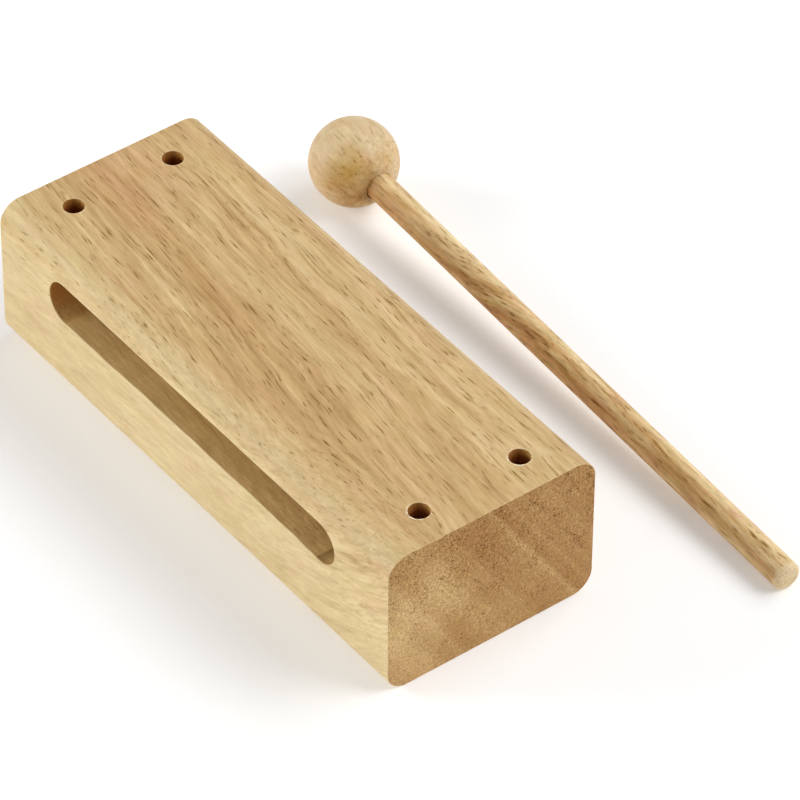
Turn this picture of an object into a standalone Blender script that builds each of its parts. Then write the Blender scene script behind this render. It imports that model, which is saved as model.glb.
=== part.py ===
"""Wood block with its beater.

A slotted block of solid hardwood lies on its broad face, and its beater, a
turned ball on a dowel, lies on the same surface beside it.

Frame: metres, +Z up. The origin is the middle of the block's underside, +X
runs along the block's length, and the sound slot opens on the -Y side.
"""

import math

import bmesh
import bpy
from mathutils import Euler, Vector

# ---------------------------------------------------------------- dimensions
BLOCK_LENGTH = 0.1680  # along X
BLOCK_WIDTH = 0.0648  # along Y
BLOCK_HEIGHT = 0.0447  # along Z
LONG_EDGE_RADIUS = 0.0062  # rounding of the four edges that run along X
LONG_EDGE_SEGMENTS = 8

SLOT_CUTTER_DIAMETER = 0.0127  # the slot is as high as the router bit is wide
SLOT_LENGTH = 0.1242  # end to end, over its round ends
SLOT_CENTRE_Z = 0.03066
SLOT_DEPTH = 0.0520  # from the -Y side inwards

HOLE_DIAMETER = 0.0060
# The four drilled holes run through the block, top to bottom. They were marked
# out by hand, so the pattern is slightly askew. (x, y) of each.
HOLE_FAR_LEFT = (-0.0724, -0.0168)
HOLE_FAR_RIGHT = (-0.0727, 0.0151)
HOLE_NEAR_LEFT = (0.0732, -0.0148)
HOLE_NEAR_RIGHT = (0.0726, 0.0171)

BALL_DIAMETER = 0.0250
STICK_DIAMETER = 0.0080
STICK_TIP_ROUNDING = 0.0014
BEATER_LENGTH = 0.2014  # from the back of the ball to the stick's tip
BORE_DEPTH = 0.0145  # blind hole for the stick, from the ball's surface
GLUE_GAP = 0.0003  # all round the stick, and at the bottom of its hole

BALL_X = -0.0736  # the ball's centre over the surface
BALL_Y = 0.0752
BEATER_TURN = math.radians(-1.17)  # the stick's direction, from +X about +Z

# ------------------------------------------------------------- sides of rounds
SLOT_END_SIDES = 48  # of a full turn
HOLE_SIDES = 32
BALL_SIDES = 48
STICK_SIDES = 36
ARC_STEP = math.radians(7.5)  # along the ball's profile

# How far a cutter runs past the face that it enters or leaves.
CUT_PAST = 0.0040


def clear_scene():
    for obj in list(bpy.data.objects):
        bpy.data.objects.remove(obj, do_unlink=True)
    for mesh in list(bpy.data.meshes):
        if mesh.users == 0:
            bpy.data.meshes.remove(mesh)


def new_collection(name):
    collection = bpy.data.collections.new(name)
    bpy.context.scene.collection.children.link(collection)
    return collection


def new_material(name, colour, roughness):
    material = bpy.data.materials.new(name)
    material.use_nodes = True
    shader = material.node_tree.nodes["Principled BSDF"]
    shader.inputs["Base Color"].default_value = (*colour, 1.0)
    shader.inputs["Roughness"].default_value = roughness
    shader.inputs["Metallic"].default_value = 0.0
    material.diffuse_color = (*colour, 1.0)
    return material


def object_from_bmesh(name, bm, collection, material=None):
    mesh = bpy.data.meshes.new(name)
    bm.to_mesh(mesh)
    bm.free()
    obj = bpy.data.objects.new(name, mesh)
    collection.objects.link(obj)
    if material is not None:
        mesh.materials.append(material)
    return obj


def make_cutter(obj):
    obj.hide_render = True
    obj.display_type = "WIRE"
    return obj


def cut(obj, cutter):
    modifier = obj.modifiers.new("cut_" + cutter.name, "BOOLEAN")
    modifier.operation = "DIFFERENCE"
    modifier.solver = "EXACT"
    modifier.object = cutter
    modifier.show_render = modifier.show_viewport


def turned_solid(name, profile, sides, collection, material):
    """A profile in the XZ plane, given as (radius, z) points that run down its outer side, turned about Z."""
    bm = bmesh.new()
    points = [bm.verts.new((radius, 0.0, z)) for radius, z in profile]
    for start, end in zip(points, points[1:]):
        bm.edges.new((start, end))
    obj = object_from_bmesh(name, bm, collection, material)
    screw = obj.modifiers.new("turn", "SCREW")
    screw.axis = "Z"
    screw.angle = 2.0 * math.pi
    screw.steps = sides
    screw.render_steps = sides
    screw.use_merge_vertices = True
    screw.merge_threshold = 0.00001
    screw.use_smooth_shade = True
    return obj


def arc(centre_r, centre_z, radius, start, end, step):
    """Points of an arc in the profile's plane. Angles are measured from +radius towards +z."""
    count = max(1, math.ceil(abs(end - start) / step))
    angles = [start + (end - start) * i / count for i in range(count + 1)]
    return [
        (centre_r + radius * math.cos(a), centre_z + radius * math.sin(a))
        for a in angles
    ]


def smooth_rounds(obj, angle):
    obj.data.shade_smooth()
    obj.data.set_sharp_from_angle(angle=angle)


# ------------------------------------------------------------------- the block
def build_block(collection, cutters, material):
    bm = bmesh.new()
    bmesh.ops.create_cube(bm, size=1.0)
    bmesh.ops.scale(bm, vec=(BLOCK_LENGTH, BLOCK_WIDTH, BLOCK_HEIGHT), verts=bm.verts)
    bmesh.ops.translate(bm, vec=(0.0, 0.0, BLOCK_HEIGHT / 2.0), verts=bm.verts)
    weight = bm.edges.layers.float.new("bevel_weight_edge")
    for edge in bm.edges:
        along = edge.verts[0].co - edge.verts[1].co
        if abs(along.x) > 0.5 * BLOCK_LENGTH:
            edge[weight] = 1.0
    block = object_from_bmesh("block_body", bm, collection, material)

    rounding = block.modifiers.new("long_edges", "BEVEL")
    rounding.limit_method = "WEIGHT"
    rounding.width = LONG_EDGE_RADIUS
    rounding.segments = LONG_EDGE_SEGMENTS
    rounding.profile = 0.5
    rounding.use_clamp_overlap = True

    cut(block, slot_cutter(cutters))
    holes = (
        ("hole_far_left", HOLE_FAR_LEFT),
        ("hole_far_right", HOLE_FAR_RIGHT),
        ("hole_near_left", HOLE_NEAR_LEFT),
        ("hole_near_right", HOLE_NEAR_RIGHT),
    )
    for name, (x, y) in holes:
        cut(block, hole_cutter(name, x, y, cutters))
    smooth_rounds(block, math.radians(30.0))
    return block


def slot_cutter(cutters):
    """The path of a round bit: a flat stadium in the XZ plane, swept along Y from outside the -Y face."""
    radius = SLOT_CUTTER_DIAMETER / 2.0
    reach = SLOT_LENGTH / 2.0 - radius
    step = 2.0 * math.pi / SLOT_END_SIDES
    half = SLOT_END_SIDES // 2
    outline = [
        (reach + radius * math.sin(step * i), radius * math.cos(step * i))
        for i in range(half + 1)
    ]
    outline += [
        (-reach - radius * math.sin(step * i), -radius * math.cos(step * i))
        for i in range(half + 1)
    ]
    outer_y = -BLOCK_WIDTH / 2.0 - CUT_PAST
    bm = bmesh.new()
    face = bm.faces.new(
        [bm.verts.new((x, outer_y, SLOT_CENTRE_Z + z)) for x, z in outline]
    )
    swept = bmesh.ops.extrude_face_region(bm, geom=[face])
    moved = [item for item in swept["geom"] if isinstance(item, bmesh.types.BMVert)]
    bmesh.ops.translate(bm, vec=(0.0, SLOT_DEPTH + CUT_PAST, 0.0), verts=moved)
    bmesh.ops.recalc_face_normals(bm, faces=bm.faces)
    return make_cutter(object_from_bmesh("sound_slot", bm, cutters))


def hole_cutter(name, x, y, cutters):
    bm = bmesh.new()
    bmesh.ops.create_cone(
        bm,
        cap_ends=True,
        segments=HOLE_SIDES,
        radius1=HOLE_DIAMETER / 2.0,
        radius2=HOLE_DIAMETER / 2.0,
        depth=BLOCK_HEIGHT + 2.0 * CUT_PAST,
    )
    cutter = object_from_bmesh(name, bm, cutters)
    cutter.location = (x, y, BLOCK_HEIGHT / 2.0)
    return make_cutter(cutter)


# ------------------------------------------------------------------ the beater
def resting_droop():
    """The angle below level at which the stick lies when the ball and the stick's tip both touch the surface."""
    ball = BALL_DIAMETER / 2.0
    radius = STICK_DIAMETER / 2.0
    reach = BEATER_LENGTH - ball - STICK_TIP_ROUNDING
    inner = radius - STICK_TIP_ROUNDING
    # reach * sin(a) + inner * cos(a) = ball - STICK_TIP_ROUNDING
    return math.asin(
        (ball - STICK_TIP_ROUNDING) / math.hypot(reach, inner)
    ) - math.atan2(inner, reach)


def build_head(collection, material):
    """The ball, with its blind bore along local +Z."""
    ball = BALL_DIAMETER / 2.0
    bore = STICK_DIAMETER / 2.0 + GLUE_GAP
    mouth_z = math.sqrt(ball * ball - bore * bore)
    floor_z = ball - BORE_DEPTH
    mouth_angle = math.asin(mouth_z / ball)
    profile = [(0.0, floor_z), (bore, floor_z)]
    profile += arc(0.0, 0.0, ball, mouth_angle, -math.pi / 2.0, ARC_STEP)[:-1]
    profile.append((0.0, -ball))
    head = turned_solid("beater_head", profile, BALL_SIDES, collection, material)
    return head


def build_stick(collection, material):
    """The dowel, from the bottom of the ball's bore to its tip at local +Z."""
    ball = BALL_DIAMETER / 2.0
    radius = STICK_DIAMETER / 2.0
    tip_z = BEATER_LENGTH - ball
    root_z = ball - BORE_DEPTH + GLUE_GAP
    round_r = STICK_TIP_ROUNDING
    profile = [(0.0, tip_z)]
    profile += arc(
        radius - round_r, tip_z - round_r, round_r, math.pi / 2.0, 0.0, math.radians(22.5)
    )
    profile += [(radius, root_z), (0.0, root_z)]
    return turned_solid("beater_stick", profile, STICK_SIDES, collection, material)


def build_beater(collection, head_material, stick_material):
    """Both pieces hang from one empty at the ball's centre, on the line along which the beater is lifted."""
    droop = resting_droop()
    axis = bpy.data.objects.new("beater_axis", None)
    axis.empty_display_size = 0.02
    axis.location = Vector((BALL_X, BALL_Y, BALL_DIAMETER / 2.0))
    axis.rotation_euler = Euler((0.0, math.pi / 2.0 + droop, BEATER_TURN), "XYZ")
    collection.objects.link(axis)
    head = build_head(collection, head_material)
    stick = build_stick(collection, stick_material)
    for piece in (head, stick):
        piece.parent = axis
    return head, stick


def main():
    clear_scene()
    parts = new_collection("wood_block")
    cutters = new_collection("wood_block_cutters")
    block_wood = new_material("block_wood", (0.62, 0.43, 0.21), 0.48)
    head_wood = new_material("head_wood", (0.55, 0.36, 0.17), 0.42)
    stick_wood = new_material("stick_wood", (0.57, 0.40, 0.20), 0.46)
    build_block(parts, cutters, block_wood)
    build_beater(parts, head_wood, stick_wood)
    bpy.context.view_layer.update()


main()
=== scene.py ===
import math

import bmesh
import bpy
from mathutils import Euler, Matrix, Vector


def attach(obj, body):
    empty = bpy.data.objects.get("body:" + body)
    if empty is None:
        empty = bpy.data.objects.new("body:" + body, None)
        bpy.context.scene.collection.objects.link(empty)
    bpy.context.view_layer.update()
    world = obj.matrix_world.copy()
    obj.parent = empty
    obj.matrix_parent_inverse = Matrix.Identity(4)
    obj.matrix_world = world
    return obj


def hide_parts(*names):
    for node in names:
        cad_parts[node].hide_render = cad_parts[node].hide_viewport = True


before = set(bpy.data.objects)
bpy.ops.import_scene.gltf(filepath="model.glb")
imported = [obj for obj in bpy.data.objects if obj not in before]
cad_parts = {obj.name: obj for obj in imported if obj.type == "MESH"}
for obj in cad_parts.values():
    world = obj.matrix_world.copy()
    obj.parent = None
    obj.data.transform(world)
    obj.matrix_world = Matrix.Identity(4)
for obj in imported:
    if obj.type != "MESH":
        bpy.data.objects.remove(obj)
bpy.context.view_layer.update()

# ------------------------------------------------------------------ dimensions
# Metres, in the frame's own coordinates: +X along the block, the slot opens on
# the -Y side, the underside is at z = 0.
BLOCK_LENGTH, BLOCK_WIDTH, BLOCK_HEIGHT = 0.1680, 0.0648, 0.0447
LONG_EDGE_RADIUS = 0.0062
SLOT_TOP, SLOT_FLOOR, SLOT_DEPTH = 0.03701, 0.02430, 0.0520
# The ends of the slot are drilled a touch lower than its floor, which leaves a crease.
SLOT_END_RADIUS, SLOT_NEAR_X, SLOT_FAR_X = 0.00641, 0.05532, -0.05535
HOLE_DIAMETER = 0.0058  # torn fibres take 0.1 mm off the drill's radius
HOLES =((-0.0724, -0.0168), (-0.0727, 0.0151), (0.0732, -0.0148), (0.0726, 0.0171))
ARRIS = 0.00030  # sandpaper's easing of every cut edge
RIM = 0.00015  # the holes' rims are sharper

BALL_RADIUS, BALL_DRAWN = 0.0125, 0.01248
STICK_RADIUS, TIP_ROUNDING = 0.0040, 0.0014
BEATER_LENGTH, BORE_DEPTH = 0.2014, 0.0145
BALL_CENTRE = Vector((-0.0736, 0.0752, BALL_RADIUS))
BEATER_TURN = math.radians(-1.17)
BORE_PLAY = 0.00014  # the bore is this much wider than the stick, all round
STICK_LEAN = 0.00011  # and the stick is glued in against its upper side

CAMERA_EYE = Vector((0.93426, -0.68092, 1.07407))
CAMERA_RIGHT = Vector((0.60413, 0.79687, 0.00574))
CAMERA_UP = Vector((-0.53946, 0.40366, 0.73895))
CAMERA_LENS = 273.81  # on a 36 mm sensor


# ------------------------------------------------------------------- mesh tools
def mesh_object(name, bm):
    mesh = bpy.data.meshes.new(name)
    bm.to_mesh(mesh)
    bm.free()
    obj = bpy.data.objects.new(name, mesh)
    bpy.context.scene.collection.objects.link(obj)
    return obj


def baked(obj):
    """The object with its modifiers applied, and its helpers no longer needed."""
    bpy.context.view_layer.update()
    graph = bpy.context.evaluated_depsgraph_get()
    mesh = bpy.data.meshes.new_from_object(obj.evaluated_get(graph))
    obj.modifiers.clear()
    old = obj.data
    obj.data = mesh
    mesh.name = obj.name
    if old.users == 0:
        bpy.data.meshes.remove(old)
    return obj


def drop(*helpers):
    for helper in helpers:
        mesh = helper.data
        bpy.data.objects.remove(helper, do_unlink=True)
        if mesh.users == 0:
            bpy.data.meshes.remove(mesh)


def difference(obj, cutter):
    modifier = obj.modifiers.new("cut", "BOOLEAN")
    modifier.operation = "DIFFERENCE"
    modifier.solver = "EXACT"
    modifier.object = cutter


def prism_along_y(name, outline, y0, y1):
    bm = bmesh.new()
    face = bm.faces.new([bm.verts.new((x, y0, z)) for x, z in outline])
    swept = bmesh.ops.extrude_face_region(bm, geom=[face])
    moved = [item for item in swept["geom"] if isinstance(item, bmesh.types.BMVert)]
    bmesh.ops.translate(bm, vec=(0.0, y1 - y0, 0.0), verts=moved)
    bmesh.ops.recalc_face_normals(bm, faces=bm.faces)
    return mesh_object(name, bm)


def turned(name, profile, sides, matrix):
    """A closed profile of (radius, z) points turned about local Z, then put in place by the matrix."""
    bm = bmesh.new()
    rings = []
    for radius, z in profile:
        if radius < 1e-9:
            rings.append([bm.verts.new((0.0, 0.0, z))])
        else:
            rings.append(
                [
                    bm.verts.new(
                        (
                            radius * math.cos(2 * math.pi * i / sides),
                            radius * math.sin(2 * math.pi * i / sides),
                            z,
                        )
                    )
                    for i in range(sides)
                ]
            )
    for upper, lower in zip(rings, rings[1:]):
        for i in range(sides):
            j = (i + 1) % sides
            corners = [upper[i % len(upper)], lower[i % len(lower)], lower[j % len(lower)], upper[j % len(upper)]]
            distinct = []
            for corner in corners:
                if corner not in distinct:
                    distinct.append(corner)
            if len(distinct) > 2:
                bm.faces.new(distinct)
    bmesh.ops.recalc_face_normals(bm, faces=bm.faces)
    bmesh.ops.transform(bm, matrix=matrix, verts=bm.verts)
    return mesh_object(name, bm)


def arc(centre_r, centre_z, radius, start, end, count):
    return [
        (
            centre_r + radius * math.cos(start + (end - start) * i / count),
            centre_z + radius * math.sin(start + (end - start) * i / count),
        )
        for i in range(count + 1)
    ]


# -------------------------------------------------------------------- the block
def slot_floor(x):
    """Height of the slot's floor. It was cut by hand-fed passes, so it is not quite level."""
    def ease(low, high):
        t = min(1.0, max(0.0, (x - low) / (high - low)))
        return t * t * (3.0 - 2.0 * t)
    hump = ease(-0.046, -0.012) * (1.0 - ease(0.0435, 0.0510))
    waves = 0.00011 * math.sin(x / 0.0039 + 1.0) + 0.00006 * math.sin(x / 0.00171 + 0.4)
    fade = ease(-0.0545, -0.0480) * (1.0 - ease(0.0480, 0.0545))
    return SLOT_FLOOR + 0.00056 * hump + waves * fade


def slot_outline():
    """The slot's mouth in the XZ plane: a straight top, round drilled ends and an uneven floor."""
    centre_z = SLOT_TOP - SLOT_END_RADIUS
    # Angle past straight down at which each round end meets the floor.
    past = math.acos((centre_z - SLOT_FLOOR) / SLOT_END_RADIUS)
    points = []
    for i in range(37):
        a = (math.pi + past) * i / 36
        points.append((SLOT_NEAR_X + SLOT_END_RADIUS * math.sin(a), centre_z + SLOT_END_RADIUS * math.cos(a)))
    start, stop = points[-1][0], SLOT_FAR_X + SLOT_END_RADIUS * math.sin(past)
    count = 70
    for i in range(1, count):
        x = start + (stop - start) * i / count
        points.append((x, slot_floor(x)))
    for i in range(37):
        a = (math.pi + past) * (1.0 - i / 36)
        points.append((SLOT_FAR_X - SLOT_END_RADIUS * math.sin(a), centre_z + SLOT_END_RADIUS * math.cos(a)))
    return points


def on_rim(point):
    """Whether a point lies on the mouth of a hole, in the top or in the underside."""
    off = min(abs(math.hypot(point.x - x, point.y - y) - HOLE_DIAMETER / 2) for x, y in HOLES)
    return off < 2e-5 and min(abs(point.z), abs(point.z - BLOCK_HEIGHT)) < 2e-5


def build_block():
    bm = bmesh.new()
    bmesh.ops.create_cube(bm, size=1.0)
    bmesh.ops.scale(bm, vec=(BLOCK_LENGTH, BLOCK_WIDTH, BLOCK_HEIGHT), verts=bm.verts)
    bmesh.ops.translate(bm, vec=(0.0, 0.0, BLOCK_HEIGHT / 2), verts=bm.verts)
    long_edges = [
        edge
        for edge in bm.edges
        if abs(edge.verts[0].co.x - edge.verts[1].co.x) > 0.5 * BLOCK_LENGTH
    ]
    bmesh.ops.bevel(
        bm,
        geom=long_edges,
        offset=LONG_EDGE_RADIUS,
        offset_type="OFFSET",
        segments=20,
        profile=0.5,
        affect="EDGES",
    )
    block = mesh_object("wood_block_body", bm)
    slot = prism_along_y("slot_cutter", slot_outline(), -BLOCK_WIDTH / 2 - 0.004, -BLOCK_WIDTH / 2 + SLOT_DEPTH)
    helpers = [slot]
    difference(block, slot)
    easing = block.modifiers.new("arris", "BEVEL")
    easing.limit_method = "ANGLE"
    easing.angle_limit = math.radians(50)
    easing.width = ARRIS
    easing.segments = 3
    easing.use_clamp_overlap = False
    easing.miter_outer = "MITER_SHARP"
    baked(block)
    for index, (x, y) in enumerate(HOLES):
        bm = bmesh.new()
        bmesh.ops.create_cone(
            bm, cap_ends=True, segments=48, radius1=HOLE_DIAMETER / 2, radius2=HOLE_DIAMETER / 2,
            depth=BLOCK_HEIGHT + 0.008,
        )
        bmesh.ops.translate(bm, vec=(x, y, BLOCK_HEIGHT / 2), verts=bm.verts)
        drill = mesh_object("drill_%d" % index, bm)
        helpers.append(drill)
        difference(block, drill)
    baked(block)
    weight = block.data.attributes.new("bevel_weight_edge", "FLOAT", "EDGE")
    for edge in block.data.edges:
        a, b = (block.data.vertices[i].co for i in edge.vertices)
        if abs(a.z - b.z) < 1e-5 and on_rim(a) and on_rim(b):
            weight.data[edge.index].value = 1.0
    rims = block.modifiers.new("rims", "BEVEL")
    rims.limit_method = "WEIGHT"
    rims.width = RIM
    rims.segments = 2
    rims.use_clamp_overlap = False
    baked(block)
    drop(*helpers)
    block.data.shade_smooth()
    block.data.set_sharp_from_angle(angle=math.radians(40))
    weighted = block.modifiers.new("weighted", "WEIGHTED_NORMAL")
    weighted.weight = 60
    weighted.keep_sharp = True
    return block


# ------------------------------------------------------------------- the beater
def resting_droop():
    reach = BEATER_LENGTH - BALL_RADIUS - TIP_ROUNDING
    inner = STICK_RADIUS - TIP_ROUNDING
    return math.asin((BALL_RADIUS - TIP_ROUNDING) / math.hypot(reach, inner)) - math.atan2(inner, reach)


BEATER_TURNED = Euler((0.0, math.pi / 2 + resting_droop(), BEATER_TURN), "XYZ").to_matrix()
BEATER_MATRIX = Matrix.Translation(BALL_CENTRE) @ BEATER_TURNED.to_4x4()
STICK_AXIS = (BEATER_TURNED @ Vector((0.0, 0.0, 1.0))).normalized()


def build_ball():
    bore = STICK_RADIUS + BORE_PLAY
    lip = 0.00012
    mouth = math.acos((bore + lip) / BALL_DRAWN)
    floor_z = BALL_RADIUS - BORE_DEPTH
    mouth_z = BALL_DRAWN * math.sin(mouth)
    profile = [(0.0, floor_z), (bore * 0.5, floor_z), (bore, floor_z)]
    profile += [(bore, floor_z + (mouth_z - 0.00022 - floor_z) * i / 6) for i in range(1, 7)]
    profile += [(bore + lip * 0.3, mouth_z - 0.00006)]
    profile += arc(0.0, 0.0, BALL_DRAWN, mouth, -math.pi / 2, 96)[:-1]
    profile.append((0.0, -BALL_DRAWN))
    ball = turned("beater_ball", profile, 144, BEATER_MATRIX)
    ball.data.shade_smooth()
    ball.data.set_sharp_from_angle(angle=math.radians(40))
    return ball


def build_stick():
    """The dowel. Its root sits against the upper side of the bore, and its tip is where the frame has it."""
    tip_z = BEATER_LENGTH - BALL_RADIUS - 0.00001
    root_z = BALL_RADIUS - BORE_DEPTH + 0.0003
    profile = [(0.0, tip_z), (STICK_RADIUS * 0.25, tip_z), (STICK_RADIUS * 0.5, tip_z - 0.00002)]
    profile += arc(STICK_RADIUS - TIP_ROUNDING, tip_z - TIP_ROUNDING, TIP_ROUNDING, math.pi * 0.47, 0.0, 10)
    straight = 90
    top = tip_z - TIP_ROUNDING
    profile += [(STICK_RADIUS, top + (root_z - top) * i / straight) for i in range(1, straight + 1)]
    profile.append((0.0, root_z))
    stick = turned("beater_dowel", profile, 96, BEATER_MATRIX)
    side = STICK_AXIS.cross(CAMERA_EYE - BALL_CENTRE).normalized()
    side = -side if side.z < 0 else side
    for vertex in stick.data.vertices:
        along = (vertex.co - BALL_CENTRE).dot(STICK_AXIS)
        share = 1.0 - min(1.0, max(0.0, (along - BALL_RADIUS) / 0.10))
        vertex.co += side * STICK_LEAN * share
    stick.data.shade_smooth()
    stick.data.set_sharp_from_angle(angle=math.radians(40))
    return stick


# --------------------------------------------------------------- material tools
class Graph:
    """Short forms for the shader nodes that the materials use."""

    def __init__(self, name):
        self.material = bpy.data.materials.new(name)
        self.material.use_nodes = True
        self.tree = self.material.node_tree
        self.shader = self.tree.nodes["Principled BSDF"]

    def feed(self, socket, value):
        if isinstance(value, bpy.types.NodeSocket):
            self.tree.links.new(value, socket)
        elif value is not None:
            socket.default_value = value

    def math(self, operation, a, b=None, c=None, clamp=False):
        node = self.tree.nodes.new("ShaderNodeMath")
        node.operation = operation
        node.use_clamp = clamp
        for socket, value in zip(node.inputs, (a, b, c)):
            self.feed(socket, value)
        return node.outputs[0]

    def add(self, a, b, *more):
        total = self.math("ADD", a, b)
        for term in more:
            total = self.math("ADD", total, term)
        return total

    def sub(self, a, b):
        return self.math("SUBTRACT", a, b)

    def mul(self, a, b, *more):
        total = self.math("MULTIPLY", a, b)
        for term in more:
            total = self.math("MULTIPLY", total, term)
        return total

    def swing(self, value, amount):
        """A noise of 0 to 1 as a swing about nought."""
        return self.math("MULTIPLY_ADD", value, amount, -0.5 * amount)

    def vector(self, operation, a, b=None, scale=None):
        node = self.tree.nodes.new("ShaderNodeVectorMath")
        node.operation = operation
        self.feed(node.inputs[0], a)
        if b is not None:
            self.feed(node.inputs[1], b)
        if scale is not None:
            self.feed(node.inputs["Scale"], scale)
        return node.outputs["Value"] if operation in ("DOT_PRODUCT", "LENGTH", "DISTANCE") else node.outputs["Vector"]

    def split(self, vector):
        node = self.tree.nodes.new("ShaderNodeSeparateXYZ")
        self.feed(node.inputs[0], vector)
        return node.outputs[0], node.outputs[1], node.outputs[2]

    def join(self, x, y, z):
        node = self.tree.nodes.new("ShaderNodeCombineXYZ")
        for socket, value in zip(node.inputs, (x, y, z)):
            self.feed(socket, value)
        return node.outputs[0]

    def smooth(self, value, low, high, to_low=0.0, to_high=1.0):
        node = self.tree.nodes.new("ShaderNodeMapRange")
        node.interpolation_type = "SMOOTHSTEP"
        for socket, number in zip(node.inputs, (value, low, high, to_low, to_high)):
            self.feed(socket, number)
        return node.outputs[0]

    def linear(self, value, low, high, to_low=0.0, to_high=1.0):
        node = self.tree.nodes.new("ShaderNodeMapRange")
        node.clamp = True
        for socket, number in zip(node.inputs, (value, low, high, to_low, to_high)):
            self.feed(socket, number)
        return node.outputs[0]

    def noise(self, vector, scale=1.0, detail=2.0, roughness=0.5, distortion=0.0):
        node = self.tree.nodes.new("ShaderNodeTexNoise")
        self.feed(node.inputs["Vector"], vector)
        self.feed(node.inputs["Scale"], scale)
        self.feed(node.inputs["Detail"], detail)
        self.feed(node.inputs["Roughness"], roughness)
        self.feed(node.inputs["Distortion"], distortion)
        return node.outputs[0]

    def grain_noise(self, grain, lengthwise, across, seed, detail=2.0, roughness=0.5):
        """Noise drawn out along the fibre: its coarsest swell is this many millimetres long and wide."""
        node = self.vector(
            "MULTIPLY_ADD", grain, (1.0 / lengthwise, 1.0 / across, 1.0 / across)
        ).node
        self.feed(node.inputs[2], (seed * 1.37, seed * 0.61, seed * 2.11))
        return self.noise(node.outputs["Vector"], 1.0, detail, roughness)

    def voronoi(self, vector, randomness=1.0):
        node = self.tree.nodes.new("ShaderNodeTexVoronoi")
        node.feature = "F1"
        self.feed(node.inputs["Vector"], vector)
        self.feed(node.inputs["Scale"], 1.0)
        self.feed(node.inputs["Randomness"], randomness)
        return node.outputs["Distance"], node.outputs["Color"], node.outputs["Position"]

    def mix(self, factor, a, b, blend="MIX"):
        node = self.tree.nodes.new("ShaderNodeMix")
        node.data_type = "RGBA"
        node.blend_type = blend
        node.clamp_factor = True
        self.feed(node.inputs[0], factor)
        self.feed(node.inputs[6], a)
        self.feed(node.inputs[7], b)
        return node.outputs[2]

    def ramp(self, value, stops, mode="EASE"):
        node = self.tree.nodes.new("ShaderNodeValToRGB")
        self.feed(node.inputs[0], value)
        band = node.color_ramp
        band.interpolation = mode
        while len(band.elements) < len(stops):
            band.elements.new(0.5)
        for element, (place, colour) in zip(band.elements, stops):
            element.position = place
            element.color = colour if isinstance(colour, tuple) else (colour, colour, colour, 1.0)
        return node.outputs[0]

    def shade(self, colour, red, green, blue):
        """The colour times a factor for each channel."""
        return self.mix(1.0, colour, self.join(red, green, blue), "MULTIPLY")

    def darken(self, colour, amount):
        """Darker and browner: more of the blue goes than of the red."""
        return self.shade(
            colour, self.math("MULTIPLY_ADD", amount, -1.0, 1.0), self.math("MULTIPLY_ADD", amount, -1.22, 1.0, clamp=True),
            self.math("MULTIPLY_ADD", amount, -1.60, 1.0, clamp=True),
        )

    def bump(self, height, distance, strength, normal=None):
        node = self.tree.nodes.new("ShaderNodeBump")
        self.feed(node.inputs["Height"], height)
        self.feed(node.inputs["Distance"], distance)
        self.feed(node.inputs["Strength"], strength)
        if normal is not None:
            self.feed(node.inputs["Normal"], normal)
        return node.outputs[0]


def rgb(r, g, b):
    """A display colour, 0 to 255, as the renderer's linear one."""
    def one(v):
        v /= 255.0
        return v / 12.92 if v <= 0.04045 else ((v + 0.055) / 1.055) ** 2.4
    return (one(r), one(g), one(b), 1.0)


def vessels(g, grain, across, along, seed, radius, reach, swell=1.0, ragged=0.9):
    """Vessels: long thin hollows that follow the fibre. They show as dashes where a face runs along them, and as dots
    where it cuts across. Returns how much of a vessel is here, how much of the stain round one, and its own number."""
    node = g.vector("MULTIPLY_ADD", grain, (1.0 / along, 1.0 / across, 1.0 / across)).node
    g.feed(node.inputs[2], (seed, seed * 1.7, seed * 0.6))
    here = node.outputs["Vector"]
    _, numbers, centre = g.voronoi(here)
    dx, dy, dz = g.split(g.vector("MULTIPLY", g.vector("SUBTRACT", here, centre), (along, across, across)))
    pick, size, length = g.split(numbers)
    dy = g.sub(dy, g.mul(dx, g.swing(length, 0.07)))
    wide = g.linear(size, 0.0, 1.0, 1.0 / (0.62 * radius), 1.0 / (1.35 * radius))
    far = g.linear(length, 0.0, 1.0, 1.0 / (0.40 * reach), 1.0 / (1.30 * reach))
    metric = g.mul(g.vector("LENGTH", g.join(g.mul(dx, far), g.mul(dy, wide), g.mul(dz, wide))), swell)
    uneven = g.grain_noise(grain, 1.8, 0.45, seed + 2.0, 2.0, 0.6)
    metric = g.add(metric, g.swing(uneven, ragged))
    return g.smooth(metric, 1.10, 0.45), g.smooth(metric, 2.6, 0.8), pick


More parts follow.
